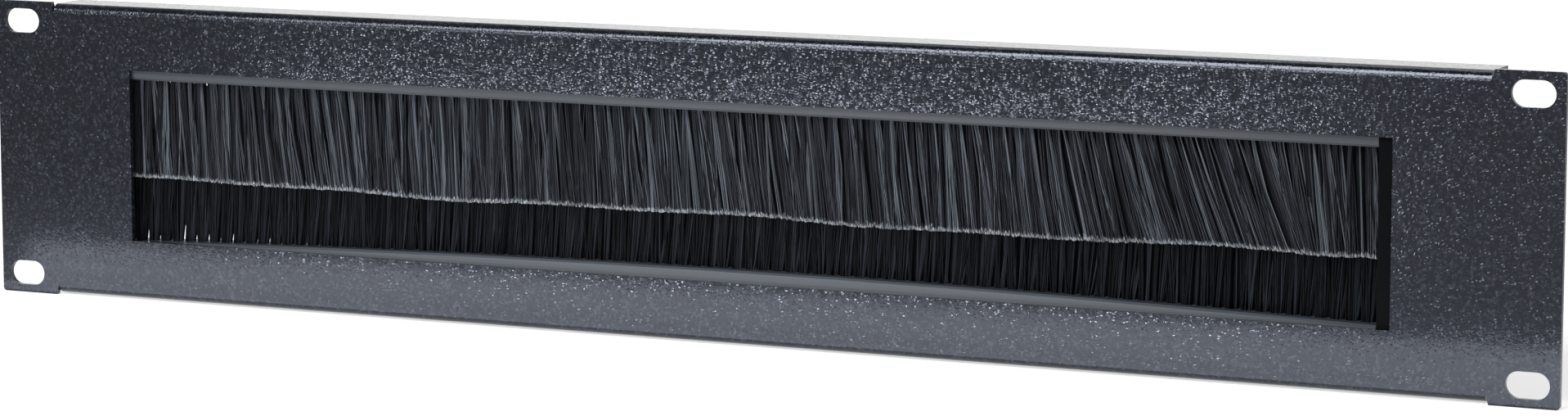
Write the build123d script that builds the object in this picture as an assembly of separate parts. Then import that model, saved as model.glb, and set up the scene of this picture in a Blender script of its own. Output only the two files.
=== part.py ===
from build123d import *
import math
import os
import random

# Rack brush strip panel, two rack units high. Sizes are in millimetres.
# X runs along the panel, +Z is up and the front faces -Y. The origin is the centre of the
# four rack slots, on the rear face of the sheet, which seats on the rack rails.

# Folded sheet
panel_width = 482.6
panel_height = 88.1
sheet = 1.5
ear_width = 20.0
ear_corner_radius = 1.1
flange_inset = 0.5
flange_depth = 15.0
bend_inside_radius = 1.2
relief_width = 0.8

# Rack slots, from the sheet's edges to their centres
slot_edge_x = 8.75
slot_edge_z = 5.95
slot_length = 12.0
slot_width = 7.2

# Cable opening, by the bands of sheet left round it
opening_side_band = 26.3
opening_top_band = 19.3
opening_bottom_band = 17.8

# Brush bars, cut to length and set behind the sheet
bar_height = 13.0
bar_thickness = 10.0
bar_edge_chamfer = 0.6
bar_left_lap = 4.6
bar_right_gap = 4.3
upper_bar_show = 2.9
lower_bar_show = 3.5
lower_bar_bow = 3.4
lower_bar_climb = 1.4

# Bristle tufts, each a fan of three locks set in a hole of the bar
row_overlap = 15.4
row_clearance = 0.45
tuft_pitch = 4.2
tuft_end_margin = 2.6
tuft_thickness = 2.2
tuft_root_width = 2.6
tuft_gap = 0.2
tuft_hole_depth = 6.0
tuft_clearance = 0.1
lock_count = 3
lock_split = 17.0
lock_gap = 0.3
trim_scatter = 0.8

# Foam seals that close the opening past the bars' ends
seal_lap = 5.0
seal_gap = 0.1

# Studs, washers and nuts that hold the bars
stud_count = 2
stud_end_margin = 15.0
stud_inset = 4.2
stud_diameter = 3.0
stud_length = 13.2
stud_hole_clearance = 0.2
washer_diameter = 7.0
washer_thickness = 0.5
nut_across_flats = 5.5
nut_height = 2.4
thread_clearance = 0.05

# Lines that several pieces share
front_face = -sheet
body_width = panel_width - 2 * ear_width
body_height = panel_height - 2 * flange_inset
bend_outside_radius = bend_inside_radius + sheet
bend_line = body_height / 2 - bend_outside_radius
opening_width = body_width - 2 * opening_side_band
opening_top = panel_height / 2 - opening_top_band
opening_bottom = opening_bottom_band - panel_height / 2
bar_left = -opening_width / 2 - bar_left_lap
bar_right = opening_width / 2 - bar_right_gap
bar_length = bar_right - bar_left
tuft_plane = bar_thickness / 2
mouth_gap = opening_top - upper_bar_show - opening_bottom - lower_bar_show
bristle_length = (mouth_gap + row_overlap) / 2
lean_slope = (tuft_thickness + row_clearance) / (mouth_gap + tuft_hole_depth)


def slab(sketch, front, rear):
    """A sketch drawn on X and Z, thickened along Y from the depth front to the depth rear."""
    return extrude(Plane.XZ.offset(-front) * sketch, amount=front - rear)


def folded_channel():
    """The web and both flanges of the body, as one bent section drawn out along X."""
    outside = Pos(front_face, 0) * Rectangle(flange_depth, body_height, align=(Align.MIN, Align.CENTER))
    outside = fillet(outside.vertices().group_by(Axis.X)[0], bend_outside_radius)
    inside = Rectangle(flange_depth - sheet, body_height - 2 * sheet, align=(Align.MIN, Align.CENTER))
    inside = fillet(inside.vertices().group_by(Axis.X)[0], bend_inside_radius)
    return extrude(Plane.YZ * (outside - inside), amount=body_width / 2, both=True)


def ear_sheet():
    """The flat front with its ears, cut away at a slant where the flanges are folded back."""
    outline = RectangleRounded(panel_width, panel_height, ear_corner_radius)
    half_body = body_width / 2
    half_cut = half_body + relief_width
    for side in (1, -1):
        outline -= Polygon(
            (-half_cut, side * panel_height / 2),
            (half_cut, side * panel_height / 2),
            (half_body, side * bend_line),
            (-half_body, side * bend_line),
            align=None,
        )
    return slab(outline, front_face, 0)


def face_panel():
    """One folded sheet with its cable opening and rack slots."""
    opening_height = opening_top - opening_bottom
    opening = Pos(0, (opening_top + opening_bottom) / 2) * Rectangle(opening_width, opening_height)
    slots = GridLocations(panel_width - 2 * slot_edge_x, panel_height - 2 * slot_edge_z, 2, 2)
    cuts = opening + slots * SlotOverall(slot_length, slot_width)
    return folded_channel() + ear_sheet() - slab(cuts, front_face, 0)


def upper_mouth_line():
    """The straight lower edge of the upper bar, where its tufts come out."""
    height = opening_top - upper_bar_show
    return Line((bar_left, 0, height), (bar_right, 0, height))


def lower_mouth_line():
    """The bowed upper edge of the lower bar, an arc that climbs a little to the right."""
    middle = opening_bottom + lower_bar_show
    left = middle - lower_bar_bow - lower_bar_climb / 2
    right = middle - lower_bar_bow + lower_bar_climb / 2
    centre = (bar_left + bar_right) / 2
    return ThreePointArc((bar_left, 0, left), (centre, 0, middle), (bar_right, 0, right))


def stations(count, end_margin):
    """Even shares of the bar's length, from one end margin to the other."""
    first = end_margin / bar_length
    step = (1 - 2 * first) / (count - 1)
    return [first + step * number for number in range(count)]


def tuft_stations():
    """Places along the bar at the tuft pitch, centred on its length."""
    count = int((bar_length - 2 * tuft_end_margin) / tuft_pitch) + 1
    return stations(count, (bar_length - (count - 1) * tuft_pitch) / 2)


def stud_points(mouth, back):
    """Stud centres along a bar, set in from its hidden edge. back is 1 for up and -1 for down."""
    offset = Vector(0, 0, back * (bar_height - stud_inset))
    return [mouth.position_at(share) + offset for share in stations(stud_count, stud_end_margin)]


def tuft_width(depth):
    """A tuft's width at a distance from its root, growing evenly to fill the pitch at the tip."""
    growth = (tuft_pitch - tuft_gap - tuft_root_width) / (tuft_hole_depth + bristle_length)
    return tuft_root_width + growth * depth


def brush_bar(mouth, back):
    """A bar, chamfered along its mouth, with a blind hole for each tuft and a hole for each stud."""
    hidden = mouth.moved(Location((0, 0, back * bar_height)))
    ends = [Line(mouth.position_at(end), hidden.position_at(end)) for end in (0, 1)]
    bar = extrude(make_face([*mouth.edges(), *hidden.edges(), *ends]), amount=bar_thickness, dir=(0, 1, 0))
    long_edges = bar.edges().filter_by(lambda edge: edge.length > bar_length / 2)
    bar = chamfer(long_edges.sort_by(Axis.Z, reverse=back < 0)[:2], bar_edge_chamfer)
    hole_width = tuft_width(tuft_hole_depth) + 2 * tuft_clearance
    hole_thickness = tuft_thickness + tuft_hole_depth * lean_slope + 2 * tuft_clearance
    hole = Box(hole_width, hole_thickness, 2 * tuft_hole_depth)
    holes = []
    for share in tuft_stations():
        tangent = mouth.tangent_at(share)
        inward = Vector(-back * tangent.Z, 0, back * tangent.X)
        centre = mouth.position_at(share) + Vector(0, tuft_plane, 0)
        holes.append(Plane(centre, x_dir=tangent, z_dir=inward) * hole)
    stud_hole = Circle(stud_diameter / 2 + stud_hole_clearance)
    for point in stud_points(mouth, back):
        holes.append(slab(Pos(point.X, point.Z) * stud_hole, 0, bar_thickness))
    return bar - holes


def tuft_outline(chance):
    """A fan from the root to three locks, split apart and trimmed to slightly uneven lengths."""
    root = tuft_clearance - tuft_hole_depth / 2
    tip = tuft_hole_depth / 2 + bristle_length
    half_root = tuft_root_width / 2
    half_tip = tuft_width(tuft_hole_depth + bristle_length) / 2
    lock_step = 2 * half_tip / lock_count
    split_step = tuft_width(tuft_hole_depth + bristle_length - lock_split) / lock_count
    points = [(-half_root, root), (half_root, root)]
    for lock in range(lock_count):
        edge = half_tip - lock * lock_step
        length = tip - trim_scatter * chance.random()
        points.append((edge if lock == 0 else edge - lock_gap / 2, length))
        last = lock == lock_count - 1
        points.append((edge - lock_step if last else edge - lock_step + lock_gap / 2, length))
        if not last:
            points.append(((lock_count / 2 - lock - 1) * split_step, tip - lock_split))
    return make_face(Polyline(*points, close=True))


def bristle_tufts(mouth, back, lean, seed):
    """The row of tufts in a bar, leaning by a slope along Y so that the two rows pass each other."""
    chance = random.Random(seed)
    tufts = []
    for share in tuft_stations():
        tangent = mouth.tangent_at(share)
        inward = Vector(-back * tangent.Z, 0, back * tangent.X)
        along = Vector(0, lean, 0) - inward
        pivot = mouth.position_at(share) + Vector(0, tuft_plane, 0) + inward * (tuft_hole_depth / 2)
        plane = Plane(pivot, x_dir=tangent, z_dir=tangent.cross(along))
        tufts.append(extrude(plane * tuft_outline(chance), amount=tuft_thickness / 2, both=True))
    return tufts


def end_seals():
    """Foam blocks as deep as the bars, glued to the back of the sheet at each end of the opening."""
    height = opening_top - opening_bottom + 2 * seal_lap
    middle = (opening_top + opening_bottom) / 2
    left_inner = bar_left - seal_gap
    right_inner = bar_right + seal_gap
    spans = [(left_inner - 2 * seal_lap, left_inner), (right_inner, opening_width / 2 + seal_lap)]
    return [
        slab(Pos((start + end) / 2, middle) * Rectangle(end - start, height), 0, bar_thickness)
        for start, end in spans
    ]


def weld_studs(points):
    """Threaded studs welded to the back of the sheet, near the ends of each bar."""
    return [slab(Pos(point.X, point.Z) * Circle(stud_diameter / 2), 0, stud_length) for point in points]


def washers(points):
    """Plain washers on the back of the bars."""
    ring = Circle(washer_diameter / 2) - Circle(stud_diameter / 2 + stud_hole_clearance)
    return [
        slab(Pos(point.X, point.Z) * ring, bar_thickness, bar_thickness + washer_thickness)
        for point in points
    ]


def nuts(points):
    """Hexagon nuts that clamp the bars through the washers."""
    hexagon = RegularPolygon(nut_across_flats / 2, 6, major_radius=False)
    hexagon -= Circle(stud_diameter / 2 + thread_clearance)
    seat = bar_thickness + washer_thickness
    return [slab(Pos(point.X, point.Z) * hexagon, seat, seat + nut_height) for point in points]


upper_mouth = upper_mouth_line()
lower_mouth = lower_mouth_line()
all_studs = stud_points(upper_mouth, 1) + stud_points(lower_mouth, -1)
nodes = {
    "face_panel": face_panel(),
    "upper_brush_bar": brush_bar(upper_mouth, 1),
    "lower_brush_bar": brush_bar(lower_mouth, -1),
    "upper_bristle_tufts": Compound(children=bristle_tufts(upper_mouth, 1, -lean_slope, 11)),
    "lower_bristle_tufts": Compound(children=bristle_tufts(lower_mouth, -1, lean_slope, 12)),
    "end_seals": Compound(children=end_seals()),
    "weld_studs": Compound(children=weld_studs(all_studs)),
    "stud_washers": Compound(children=washers(all_studs)),
    "stud_nuts": Compound(children=nuts(all_studs)),
}

os.makedirs("parts", exist_ok=True)
for name, shape in nodes.items():
    export_step(shape, f"parts/{name}.step")
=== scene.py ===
import math

import bpy
import numpy as np
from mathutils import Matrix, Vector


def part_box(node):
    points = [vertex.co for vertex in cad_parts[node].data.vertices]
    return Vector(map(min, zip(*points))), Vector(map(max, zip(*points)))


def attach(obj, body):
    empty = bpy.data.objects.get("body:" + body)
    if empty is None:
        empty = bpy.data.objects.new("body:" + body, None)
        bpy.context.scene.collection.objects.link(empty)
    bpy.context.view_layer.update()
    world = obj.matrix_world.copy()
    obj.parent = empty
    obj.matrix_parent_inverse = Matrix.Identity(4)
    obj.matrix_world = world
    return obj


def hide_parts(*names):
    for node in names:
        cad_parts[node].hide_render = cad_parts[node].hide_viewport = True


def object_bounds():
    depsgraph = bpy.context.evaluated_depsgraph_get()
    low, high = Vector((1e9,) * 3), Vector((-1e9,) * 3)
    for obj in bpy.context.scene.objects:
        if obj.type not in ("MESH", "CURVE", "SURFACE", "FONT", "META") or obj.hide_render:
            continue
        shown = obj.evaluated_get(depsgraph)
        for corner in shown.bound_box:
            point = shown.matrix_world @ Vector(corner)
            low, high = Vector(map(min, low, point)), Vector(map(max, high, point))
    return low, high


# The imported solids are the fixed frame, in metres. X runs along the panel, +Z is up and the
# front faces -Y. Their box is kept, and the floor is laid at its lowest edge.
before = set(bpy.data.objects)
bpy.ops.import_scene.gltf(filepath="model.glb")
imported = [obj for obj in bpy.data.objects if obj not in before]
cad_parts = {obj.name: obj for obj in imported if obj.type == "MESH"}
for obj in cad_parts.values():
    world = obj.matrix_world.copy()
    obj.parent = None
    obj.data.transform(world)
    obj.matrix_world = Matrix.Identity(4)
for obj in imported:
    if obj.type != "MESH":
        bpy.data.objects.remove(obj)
cad_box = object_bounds()


# The camera stands to the right of the panel and a little above it, as for a catalogue picture.
# Its place, turn and lens were fitted to the corners of the ears and of the opening.
camera_place = (0.56229, -1.16408, 0.17201)
camera_yaw = math.radians(25.034)
camera_pitch = math.radians(-7.807)
camera_lens = 106.93
camera_sensor = 36.0
camera = bpy.data.objects.new("camera", bpy.data.cameras.new("camera"))
camera.data.sensor_width = camera_sensor
camera.data.lens = camera_lens
camera.location = camera_place
camera.rotation_euler = (math.pi / 2 + camera_pitch, 0.0, camera_yaw)
bpy.context.scene.collection.objects.link(camera)
bpy.context.scene.camera = camera


# The face panel is one steel sheet, cut, folded back along its top and bottom, and then
# powder-coated black. The powder melts into a fine pebbled skin that glints on its bumps.
coat_colour = "#090B0F"
# The next colour tints a few cells paler, as painted glints.
coat_painted_glint_colour = "#282C33"
coat_glint_colour = "#E6EDFF"
coat_painted_glint_rarity = 4.0
coat_pebble = 0.0007
coat_pebble_height = 0.0001
coat_roughness = 0.13
coat_ior = 1.56

# A Mix node has several sockets of one name, so its colour sockets go by their places.
mix_share, mix_first, mix_second, mix_out = 0, 6, 7, 2


def linear(colour):
    """An sRGB hex colour as linear red, green and blue with alpha 1, by the sRGB curve."""
    levels = np.array([int(colour[place:place + 2], 16) for place in (1, 3, 5)]) / 255
    curve = np.where(levels <= 0.04045, levels / 12.92, ((levels + 0.055) / 1.055) ** 2.4)
    return (*curve.tolist(), 1.0)


def add_node(tree, kind, settings=None, links=None):
    """Adds a node to a tree. Settings go to sockets or properties by name, and links to inputs."""
    node = tree.nodes.new("ShaderNode" + kind)
    for name, value in (settings or {}).items():
        if isinstance(name, int) or name in node.inputs:
            node.inputs[name].default_value = value
        else:
            setattr(node, name, value)
    for name, socket in (links or {}).items():
        tree.links.new(socket, node.inputs[name])
    return node


def new_finish(name):
    """A material with an empty node tree and its output node."""
    finish = bpy.data.materials.new(name)
    finish.use_nodes = True
    finish.node_tree.nodes.clear()
    return finish, finish.node_tree, add_node(finish.node_tree, "OutputMaterial")


def powder_coat():
    """Polyester powder coat, a satin black that sparkles where its pebbles face a light.

    Each cell of a Voronoi pattern rises evenly from its rim to a height of its own, and a few cells
    are painted paler, as painted glints that show under any light. They are drawn about half as large
    again as real pebbles, so that they show."""
    finish, tree, output = new_finish("black_textured_powder_coat")
    place = add_node(tree, "TexCoord")
    pebbles = add_node(tree, "TexVoronoi", {"Scale": 1 / coat_pebble}, {"Vector": place.outputs["Object"]})
    rims = add_node(tree, "TexVoronoi", {"feature": "DISTANCE_TO_EDGE", "Scale": 1 / coat_pebble},
                    {"Vector": place.outputs["Object"]})
    chance = add_node(tree, "SeparateColor", None, {"Color": pebbles.outputs["Color"]})
    # Painted glints: cells with a high chance are tinted towards the paler colour.
    painted_glint_specks = add_node(tree, "Math", {"operation": "POWER", 1: coat_painted_glint_rarity},
                      {0: chance.outputs["Red"]})
    tint = add_node(tree, "Mix", {"data_type": "RGBA", mix_first: linear(coat_colour),
                                  mix_second: linear(coat_painted_glint_colour)},
                    {mix_share: painted_glint_specks.outputs["Value"]})
    rise = add_node(tree, "Math", {"operation": "MULTIPLY"},
                    {0: rims.outputs["Distance"], 1: chance.outputs["Green"]})
    domes = add_node(tree, "Bump", {"Strength": 1.0, "Distance": coat_pebble_height},
                     {"Height": rise.outputs["Value"]})
    shader = add_node(tree, "BsdfPrincipled", {"IOR": coat_ior, "Roughness": coat_roughness,
                                               "Specular Tint": linear(coat_glint_colour)},
                      {"Base Color": tint.outputs[mix_out], "Normal": domes.outputs["Normal"]})
    tree.links.new(shader.outputs["BSDF"], output.inputs["Surface"])
    return finish


def dress(node, finish):
    """Gives a CAD node its finish, through the material slots that it has."""
    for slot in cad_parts[node].material_slots:
        slot.material = finish


dress("face_panel", powder_coat())


# The two brush bars are grey PVC, drawn through a die and cut to length, so faint lines run
# along them. They lie against the back of the sheet, and the lower one has bowed upwards.
pvc_colour = "#33383E"
pvc_streak_colour = "#43484E"
pvc_streak_width = 0.0007
pvc_streak_length = 0.12
pvc_roughness = 0.42
pvc_gloss = 0.28
pvc_ior = 1.53


def drawn_pvc():
    """Drawn PVC, a dull even grey with long faint die lines: noise stretched along X tints it."""
    finish, tree, output = new_finish("grey_drawn_pvc")
    place = add_node(tree, "TexCoord")
    stretch = add_node(tree, "Mapping",
                       {"Scale": (1 / pvc_streak_length, 1 / pvc_streak_width, 1 / pvc_streak_width)},
                       {"Vector": place.outputs["Object"]})
    lines = add_node(tree, "TexNoise", {"Scale": 1.0, "Detail": 2.0}, {"Vector": stretch.outputs["Vector"]})
    tint = add_node(tree, "Mix", {"data_type": "RGBA", mix_first: linear(pvc_colour),
                                  mix_second: linear(pvc_streak_colour)},
                    {mix_share: lines.outputs["Fac"]})
    shader = add_node(tree, "BsdfPrincipled", {"IOR": pvc_ior, "Roughness": pvc_roughness,
                                               "Specular IOR Level": pvc_gloss},
                      {"Base Color": tint.outputs[mix_out]})
    tree.links.new(shader.outputs["BSDF"], output.inputs["Surface"])
    return finish


pvc = drawn_pvc()
dress("upper_brush_bar", pvc)
dress("lower_brush_bar", pvc)


# The bristles are black nylon filaments, folded in tufts into the holes of the bars and trimmed
# straight. They fan out towards their tips, lean past the facing row, and are pale where cut. They
# are drawn thicker and fewer than real ones, so that they show and the meshes stay small.
upper_low, upper_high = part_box("upper_brush_bar")
lower_low, lower_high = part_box("lower_brush_bar")
lower_bow = 0.0034
lower_climb = 0.0014

# Tufts. Their width at the root is given at the row's left end and from the reach onwards.
tuft_pitch = 0.0042
tuft_plane = (upper_low.y + upper_high.y) / 2
tuft_width = (0.0025, 0.0029)
tuft_width_reach = 0.07
tuft_depth = 0.0022
tuft_roundness = 0.7
tuft_root_depth = 0.001
tuft_pivot_depth = 0.003
tuft_stray = 0.0007

# Filaments. The strays and curls are standard deviations, the strays at the tips.
filaments_per_half = 60
filaments_per_lock = 6
filament_diameter = 0.00034
filament_sides = 3
filament_rings = (0.0, 0.05, 0.13, 0.5, 0.955, 1.0)
filament_curl = 0.0005
front_filament_stray = 0.0003
back_filament_stray = 0.00006
lock_width = 0.00012
lock_stray = 0.0010
lock_tone_share = 0.7
bristle_length = 0.030
trim_scatter = 0.0005
trim_waves = ((0.0004, 41), (0.0003, 97))

# Fans. The back half of a row closes into a curtain at a share of the length, which is given at
# the row's left end and from the tufts' reach onwards.
front_fan = 0.5
front_fan_power = 0.4
back_reach = 0.0029
back_layer = 0.75
upper_close = (0.28, 0.05)
lower_close = (0.55, 0.05)
end_splay = 0.0012
end_splay_power = 0.6
end_tufts = 2

# Leans. A row leans to its own side in Y, and its tips sway to the right by the distances given at
# shares of the row's length from its left end.
row_lean_angle = math.radians(3.0)
row_lean = math.tan(row_lean_angle) * (bristle_length + tuft_pivot_depth)
sway_power = 1.15
sway_shares = (0, 0.08, 0.15, 0.22, 0.3, 0.46, 0.5, 0.6, 0.74, 0.8, 0.87, 0.93, 0.97, 1)
upper_sway = (0.0017, 0.0025, 0.005, 0.0022, 0.0016, 0.0033, 0.0052,
              0.0036, 0.0041, 0.008, 0.0116, 0.0095, 0.003, 0.0015)
lower_sway = (0, 0.0003, 0.0006, 0.0008, 0.001, 0.0012, 0.0012,
              0.0011, 0.0008, 0.0006, 0.0004, 0.0002, 0.0001, 0)

# Nylon. Filaments turn paler over a range of tones, their own tone partly painted as glints, and the
# cut shows over the last of the length.
nylon_glint_colour = "#E6EDFF"
nylon_ior = 1.53
nylon_roughness = 0.4
nylon_pale_glint_tones = (0.52, 0.82)
nylon_cut_shares = (0.97, 0.985)
row_seed = 20


def upper_mouth(x):
    """The upper bar's lower edge, level all along."""
    return np.full_like(x, upper_low.z)


def lower_mouth(x):
    """The lower bar's upper edge: a parabola with the bow as its rise, tilted by the climb."""
    half = (lower_high.x - lower_low.x) / 2
    share = (x - lower_low.x) / half - 1
    middle = lower_high.z - lower_climb ** 2 / (16 * lower_bow)
    return middle - lower_bow * share ** 2 + lower_climb / 2 * share


def tuft_places(low, high):
    """Tuft centres along a bar: as many as fit at the pitch, centred on its length."""
    count = round((high.x - low.x) / tuft_pitch - 1)
    return (low.x + high.x) / 2 + (np.arange(count) - (count - 1) / 2) * tuft_pitch


def filament_lines(places, mouth, outward, sway, close, depth, seed):
    """Centrelines of half a row's filaments, as an array of tuft, filament, ring and coordinate.

    In the back half of a tuft, filaments start side by side and spread evenly until the tufts meet.
    In the front half they start in locks, and move out with a fan that opens fastest at the root,
    with strays of their tuft, their lock and their own, and with a bow that is a half sine. Both
    halves follow the row's sway. The end tufts open further. The trimmed ends follow two sines."""
    chance = np.random.default_rng(seed)
    tuft_chance = np.random.default_rng(len(places) + outward)
    in_front = depth < 0
    tuft = np.arange(len(places))
    shape = (len(places), filaments_per_half, 1)
    locks = (len(places), filaments_per_half // filaments_per_lock, 1)
    along = np.array(filament_rings)
    from_left = places - places[0]
    half_width = np.interp(from_left, (0, tuft_width_reach), tuft_width)[:, None, None] / 2
    close_share = np.interp(from_left, (0, tuft_width_reach), close)[:, None, None]

    even = (np.arange(filaments_per_half)[:, None] + chance.random(shape)) / filaments_per_half * 2 - 1
    lock_place = np.repeat(chance.uniform(-1, 1, locks), filaments_per_lock, axis=1)
    in_lock = np.clip(lock_place + chance.normal(0, lock_width, shape) / half_width, -1, 1)
    across = in_lock if in_front else even
    own_stray = front_filament_stray if in_front else back_filament_stray
    stray = np.repeat(chance.normal(0, lock_stray, locks), filaments_per_lock, axis=1) * in_front
    stray = stray + chance.normal(0, own_stray, shape)
    curl = np.repeat(chance.normal(0, filament_curl, locks), filaments_per_lock, axis=1) * in_front

    lean_right = np.interp(from_left / from_left[-1], sway_shares, sway)
    lean_right = lean_right + tuft_chance.normal(0, tuft_stray, len(places)) * in_front
    end_share = np.clip(1 - np.minimum(tuft, tuft[::-1]) / end_tufts, 0, 1)
    side = np.where(tuft < len(places) / 2, -1, 1)
    splay = (side * end_splay * end_share)[:, None, None] * np.clip(side[:, None, None] * across, 0, 1)

    locks_fan = half_width * (1 + front_fan * along ** front_fan_power)
    spread = np.minimum(along / close_share, 1)
    even_fan = half_width + (back_reach - half_width) * spread
    x = places[:, None, None] + across * (locks_fan if in_front else even_fan)
    x = x + lean_right[:, None, None] * along ** sway_power + stray * along + curl * np.sin(np.pi * along)
    x = x + splay * (along ** end_splay_power if in_front else spread)

    first_layer = 0 if in_front else back_layer
    layer = first_layer + (1 - first_layer) * chance.random(shape)
    y = tuft_plane + depth * tuft_depth / 2 * layer * np.sqrt(1 - tuft_roundness * across ** 2)
    y = y + outward * row_lean * along + chance.normal(0, own_stray, shape) * along

    wave = sum(height * np.sin(places * rate + number * outward)
               for number, (height, rate) in enumerate(trim_waves, 1))
    length = bristle_length + wave[:, None, None] - trim_scatter * np.abs(chance.normal(0, 1, shape))
    start = mouth(places)[:, None, None]
    z = start + outward * ((length + tuft_root_depth) * along - tuft_root_depth)
    return np.stack([x, y, z], axis=-1)


def brush_row(name, lines, outward, seed):
    """Three-sided tubes round the filament lines, closed at the tips, as one mesh.

    Vertex attributes hold the share of the length and a tone that each filament keeps."""
    tufts, filaments, rings, _ = lines.shape
    count = tufts * filaments
    chance = np.random.default_rng(seed)
    spin = np.arange(filament_sides) * 2 * np.pi / filament_sides + 2 * np.pi * chance.random((count, 1, 1))
    ring = np.stack([np.cos(spin), np.sin(spin), np.zeros_like(spin)], axis=-1) * filament_diameter / 2
    points = lines.reshape(count, rings, 1, 3) + ring

    step = np.arange(rings - 1)[:, None] * filament_sides
    side = np.arange(filament_sides)[None, :]
    after = (side + 1) % filament_sides
    near, near_after = step + side, step + after
    far, far_after = near + filament_sides, near_after + filament_sides
    walls = np.stack([np.stack([near, near_after, far_after], -1), np.stack([near, far_after, far], -1)])
    tip = (rings - 1) * filament_sides + np.arange(filament_sides)
    one = np.concatenate([walls.reshape(-1, 3), tip[None, :]])
    if outward < 0:
        one = one[:, ::-1]
    faces = (np.arange(count)[:, None, None] * rings * filament_sides + one).reshape(-1, 3)

    lock_tones = np.repeat(chance.random(count // filaments_per_lock), filaments_per_lock)
    own_tones = lock_tone_share * lock_tones + (1 - lock_tone_share) * chance.random(count)
    marks = {"share": np.array(filament_rings)[None, :, None], "tone": own_tones[:, None, None]}
    mesh = bpy.data.meshes.new(name)
    mesh.from_pydata(points.reshape(-1, 3), [], faces)
    for mark, values in marks.items():
        values = np.broadcast_to(values, points.shape[:3]).astype(np.float32)
        mesh.attributes.new(mark, "FLOAT", "POINT").data.foreach_set("value", values.ravel())
    mesh.shade_smooth()
    piece = bpy.data.objects.new(name, mesh)
    bpy.context.scene.collection.objects.link(piece)
    return piece


def nylon_filament(name, dark, pale, cut, gloss):
    """Nylon filament, black with a soft shine: a few filaments are paler than the rest, partly as painted
    glints, and so are the cut tips, each by a chance of its own."""
    finish, tree, output = new_finish(name)
    tone = add_node(tree, "Attribute", {"attribute_name": "tone"})
    share = add_node(tree, "Attribute", {"attribute_name": "share"})
    # The paler filaments are random tone and, in part, painted glints.
    pale_glints = add_node(tree, "MapRange", {"From Min": nylon_pale_glint_tones[0], "From Max": nylon_pale_glint_tones[1]},
                     {"Value": tone.outputs["Fac"]})
    tint = add_node(tree, "Mix", {"data_type": "RGBA", mix_first: linear(dark), mix_second: linear(pale)},
                    {mix_share: pale_glints.outputs["Result"]})
    tips = add_node(tree, "MapRange", {"From Min": nylon_cut_shares[0], "From Max": nylon_cut_shares[1]},
                    {"Value": share.outputs["Fac"]})
    frayed = add_node(tree, "TexWhiteNoise", {"noise_dimensions": "1D"}, {"W": tone.outputs["Fac"]})
    whitened = add_node(tree, "Math", {"operation": "MULTIPLY"},
                        {0: tips.outputs["Result"], 1: frayed.outputs["Value"]})
    ends = add_node(tree, "Mix", {"data_type": "RGBA", mix_second: linear(cut)},
                    {mix_share: whitened.outputs["Value"], mix_first: tint.outputs[mix_out]})
    shader = add_node(tree, "BsdfPrincipled", {"IOR": nylon_ior, "Roughness": nylon_roughness,
                                               "Specular IOR Level": gloss,
                                               "Specular Tint": linear(nylon_glint_colour)},
                      {"Base Color": ends.outputs[mix_out]})
    tree.links.new(shader.outputs["BSDF"], output.inputs["Surface"])
    return finish


upper_tufts = tuft_places(upper_low, upper_high)
lower_tufts = tuft_places(lower_low, lower_high)
# The upper row's front half has the plain nylon. Its back half and the whole lower row have darker copies
# of the same nylon with less shine, as painted shade for filaments that lie in the shade of the upper row's
# front half. The lower row's cut tips are also painted darker, as painted shade.
front_nylon = nylon_filament("black_nylon_filament",
                             dark="#0B0D11", pale="#545A61", cut="#AEB4BA", gloss=0.3)
painted_shade_inner_nylon = nylon_filament("black_nylon_filament_painted_shade_inner",
                             dark="#07080A", pale="#24282D", cut="#AEB4BA", gloss=0.15)
painted_shade_lower_nylon = nylon_filament("black_nylon_filament_painted_shade",
                             dark="#060708", pale="#1E2227", cut="#4A4E52", gloss=0.1)
for name, node, places, mouth, outward, sway, close, finishes in (
    ("upper_bristles", "upper_bristle_tufts", upper_tufts, upper_mouth, -1, upper_sway, upper_close,
     (front_nylon, painted_shade_inner_nylon)),
    ("lower_bristles", "lower_bristle_tufts", lower_tufts, lower_mouth, 1, lower_sway, lower_close,
     (painted_shade_lower_nylon, painted_shade_lower_nylon)),
):
    for half, depth, finish in zip(("front", "back"), (-1, 1), finishes):
        seed = row_seed + 2 * outward + depth
        lines = filament_lines(places, mouth, outward, sway, close, depth, seed)
        piece = brush_row(f"{name}_{half}", lines, outward, seed)
        piece.data.materials.append(finish)
        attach(piece, "root")
        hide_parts(node)


# A block of black foam rubber at each end of the opening closes it past the bars' ends. The
# blocks are die-cut from sheet with a glued face and pressed on the back of the steel.
foam_colour = "#060708"
foam_pore = 0.0006
foam_pore_depth = 0.0001
foam_roughness = 0.9
foam_gloss = 0.08


def foam_rubber():
    """Closed-cell foam rubber, dull and black: a noise bump pits it with fine pores."""
    finish, tree, output = new_finish("black_foam_rubber")
    place = add_node(tree, "TexCoord")
    pores = add_node(tree, "TexNoise", {"Scale": 1 / foam_pore}, {"Vector": place.outputs["Object"]})
    pits = add_node(tree, "Bump", {"Distance": foam_pore_depth}, {"Height": pores.outputs["Fac"]})
    shader = add_node(tree, "BsdfPrincipled", {"Base Color": linear(foam_colour),
                                               "Roughness": foam_roughness,
                                               "Specular IOR Level": foam_gloss},
                      {"Normal": pits.outputs["Normal"]})
    tree.links.new(shader.outputs["BSDF"], output.inputs["Surface"])
    return finish


dress("end_seals", foam_rubber())


# Two studs at the back of each bar are welded to the sheet. A washer and a nut on each stud
# clamp the bar. All of them are steel with bright zinc plate.
zinc_colour = "#C9CACB"
zinc_cloud = 0.002
zinc_roughness = (0.22, 0.42)


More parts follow.
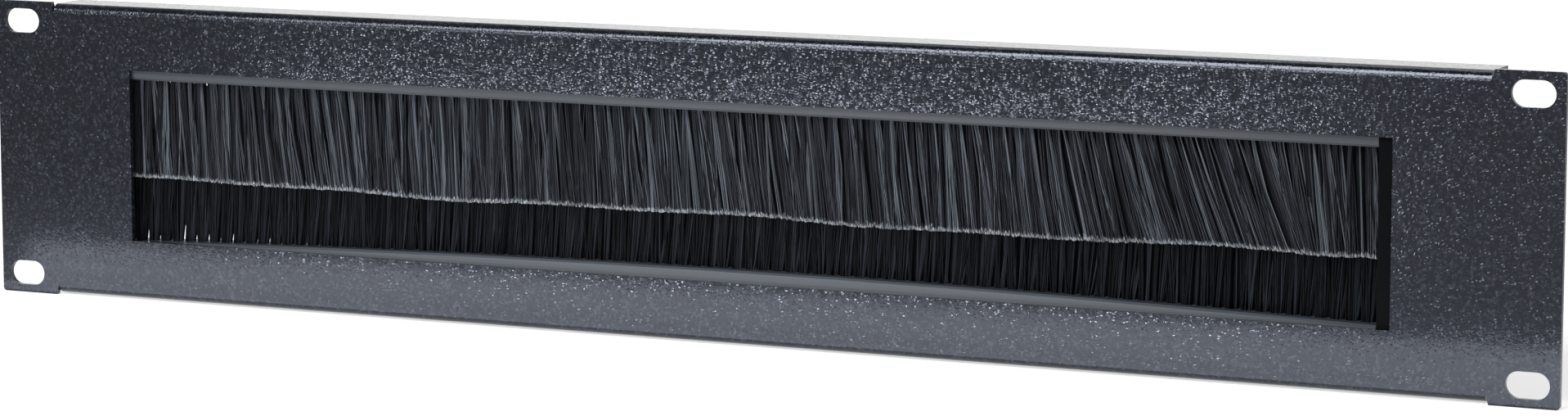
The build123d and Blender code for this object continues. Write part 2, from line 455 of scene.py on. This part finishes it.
def zinc_plate():
    """Bright zinc plate, a pale metal slightly clouded: noise varies its roughness."""
    finish, tree, output = new_finish("bright_zinc_plate")
    place = add_node(tree, "TexCoord")
    cloud = add_node(tree, "TexNoise", {"Scale": 1 / zinc_cloud, "Detail": 2.0},
                     {"Vector": place.outputs["Object"]})
    gloss = add_node(tree, "MapRange", {"To Min": zinc_roughness[0], "To Max": zinc_roughness[1]},
                     {"Value": cloud.outputs["Fac"]})
    shader = add_node(tree, "BsdfPrincipled", {"Base Color": linear(zinc_colour), "Metallic": 1.0},
                      {"Roughness": gloss.outputs["Result"]})
    tree.links.new(shader.outputs["BSDF"], output.inputs["Surface"])
    return finish


zinc = zinc_plate()
for node in ("weld_studs", "stud_washers", "stud_nuts"):
    dress(node, zinc)


# The panel stands on a pale studio floor that runs out to white. It glows a little for the camera
# only, so that it is white yet keeps the panel's shadow. Reflections see it white close to the
# panel and dimmer further off, where it dims more towards the left.
floor_half = 8.0
floor_colour = "#D4D4D4"
floor_glow = 0.52
floor_shine_near = 1.0
floor_shine_far = (0.42, 0.68)
floor_shine_reach = (0.06, 0.22)
floor_shine_span = (-0.15, 0.15)
white = linear("#FFFFFF")


def floor_paper():
    """Matt paper that glows for the camera. For reflections it is a plain glow that falls off with
    the distance from the panel, by a smooth step, to a level that runs evenly along X."""
    finish, tree, output = new_finish("white_studio_floor")
    path = add_node(tree, "LightPath")
    mirrored = add_node(tree, "Math", {"operation": "MAXIMUM"},
                        {0: path.outputs["Is Glossy Ray"], 1: path.outputs["Is Transmission Ray"]})
    place = add_node(tree, "TexCoord")
    spot = add_node(tree, "SeparateXYZ", None, {"Vector": place.outputs["Object"]})
    distance = add_node(tree, "Math", {"operation": "ABSOLUTE"}, {0: spot.outputs["Y"]})
    far = add_node(tree, "MapRange", {"From Min": floor_shine_span[0], "From Max": floor_shine_span[1],
                                      "To Min": floor_shine_far[0], "To Max": floor_shine_far[1]},
                   {"Value": spot.outputs["X"]})
    near = add_node(tree, "MapRange", {"interpolation_type": "SMOOTHSTEP", "To Min": floor_shine_near,
                                       "From Min": floor_shine_reach[0], "From Max": floor_shine_reach[1]},
                    {"Value": distance.outputs["Value"], "To Max": far.outputs["Result"]})
    glow = add_node(tree, "Math", {"operation": "MULTIPLY", 1: floor_glow},
                    {0: path.outputs["Is Camera Ray"]})
    light = add_node(tree, "Emission", {"Color": white}, {"Strength": glow.outputs["Value"]})
    paper = add_node(tree, "BsdfDiffuse", {"Color": linear(floor_colour)})
    lit = add_node(tree, "AddShader", None, {0: light.outputs["Emission"], 1: paper.outputs["BSDF"]})
    shine = add_node(tree, "Emission", {"Color": white}, {"Strength": near.outputs["Result"]})
    both = add_node(tree, "MixShader", None, {0: mirrored.outputs["Value"], 1: lit.outputs["Shader"],
                                              2: shine.outputs["Emission"]})
    tree.links.new(both.outputs["Shader"], output.inputs["Surface"])
    return finish


def studio_floor():
    """A level square under the panel's lowest edge."""
    corner = np.array([(-1, -1), (1, -1), (1, 1), (-1, 1)]) * floor_half
    points = np.column_stack([corner, np.full(4, cad_box[0].z)])
    mesh = bpy.data.meshes.new("floor")
    mesh.from_pydata(points, [], [(0, 1, 2, 3)])
    mesh.materials.append(floor_paper())
    floor = bpy.data.objects.new("floor", mesh)
    bpy.context.scene.collection.objects.link(floor)
    return floor


studio_floor()


# A soft key comes from the front left, with a weak low light under it, and weaker light from above
# and behind. A strip light lies low in front, where the pebbles of the upper band catch it. One card
# stands and another lies at the panel's foot, and they lighten the lower band.
strip_place = (-0.065, -0.16, -0.017)
strip_size = (0.36, 0.004)
strip_power = 0.21
card_place = (0.0, -0.027, -0.038)
card_size = (0.5, 0.011)
card_power = 0.033
foot_card_place = (0.0, -0.0145, -0.0438)
foot_card_size = (0.5, 0.023)
foot_card_power = 0.06
facing_panel = math.radians(90)
facing_up = math.radians(180)


def soft_light(name, azimuth, elevation, strength, spread):
    """A distant lamp. Azimuth 0 shines from the front and 90 from the right, as for the camera."""
    lamp = bpy.data.objects.new(name, bpy.data.lights.new(name, "SUN"))
    lamp.data.energy = strength
    lamp.data.angle = math.radians(spread)
    lamp.rotation_euler = (math.radians(90 - elevation), 0.0, math.radians(azimuth))
    bpy.context.scene.collection.objects.link(lamp)


def strip_light(name, place, size, power, facing):
    """A long flat lamp in front of the panel, which the camera sees only in reflections."""
    lamp = bpy.data.objects.new(name, bpy.data.lights.new(name, "AREA"))
    lamp.data.shape = "RECTANGLE"
    lamp.data.size, lamp.data.size_y = size
    lamp.data.energy = power
    lamp.location = place
    lamp.rotation_euler = (facing, 0.0, 0.0)
    lamp.visible_camera = False
    bpy.context.scene.collection.objects.link(lamp)


strip_light("front_strip", strip_place, strip_size, strip_power, facing_panel)
strip_light("front_card", card_place, card_size, card_power, facing_panel)
strip_light("foot_card", foot_card_place, foot_card_size, foot_card_power, facing_up)
soft_light("low_light", azimuth=-22, elevation=9, strength=0.36, spread=14)
soft_light("key_light", azimuth=-19, elevation=36, strength=2.5, spread=30)
soft_light("top_light", azimuth=180, elevation=65, strength=0.8, spread=50)
soft_light("back_light", azimuth=205, elevation=14, strength=0.1, spread=30)


# The room is a plain white studio. Reflections see it bright behind the panel and dimmer in front
# and overhead. The spans are parts of a direction's Y and Z over which it changes.
room_fill = 0.25
room_front = 0.4
room_back = 0.85
room_turn_span = (-0.3, 0.3)
room_overhead = 0.25
room_overhead_span = (0.35, 0.75)

# A Mix node's number sockets go by their places too.
mix_first_number, mix_second_number, mix_number_out = 2, 3, 0


def studio_room():
    """White to the camera. To reflections it is a level that changes along Y, times one that falls
    off upwards, and other light from it is an even fill."""
    room = bpy.data.worlds.new("studio_room")
    room.use_nodes = True
    tree = room.node_tree
    tree.nodes.clear()
    path = add_node(tree, "LightPath")
    place = add_node(tree, "TexCoord")
    way = add_node(tree, "SeparateXYZ", None, {"Vector": place.outputs["Generated"]})
    around = add_node(tree, "MapRange", {"From Min": room_turn_span[0], "From Max": room_turn_span[1],
                                         "To Min": room_front, "To Max": room_back},
                      {"Value": way.outputs["Y"]})
    overhead = add_node(tree, "MapRange", {"From Min": room_overhead_span[0], "To Min": 1.0,
                                           "From Max": room_overhead_span[1], "To Max": room_overhead},
                        {"Value": way.outputs["Z"]})
    gloss = add_node(tree, "Math", {"operation": "MULTIPLY"},
                     {0: around.outputs["Result"], 1: overhead.outputs["Result"]})
    seen = add_node(tree, "Mix", {"data_type": "FLOAT", mix_first_number: room_fill},
                    {mix_share: path.outputs["Is Glossy Ray"], mix_second_number: gloss.outputs["Value"]})
    shown = add_node(tree, "Mix", {"data_type": "FLOAT", mix_second_number: 1.0},
                     {mix_share: path.outputs["Is Camera Ray"],
                      mix_first_number: seen.outputs[mix_number_out]})
    light = add_node(tree, "Background", {"Color": white}, {"Strength": shown.outputs[mix_number_out]})
    output = add_node(tree, "OutputWorld")
    tree.links.new(light.outputs["Background"], output.inputs["Surface"])
    return room


bpy.context.scene.world = studio_room()
bpy.context.scene.view_settings.view_transform = "Standard"
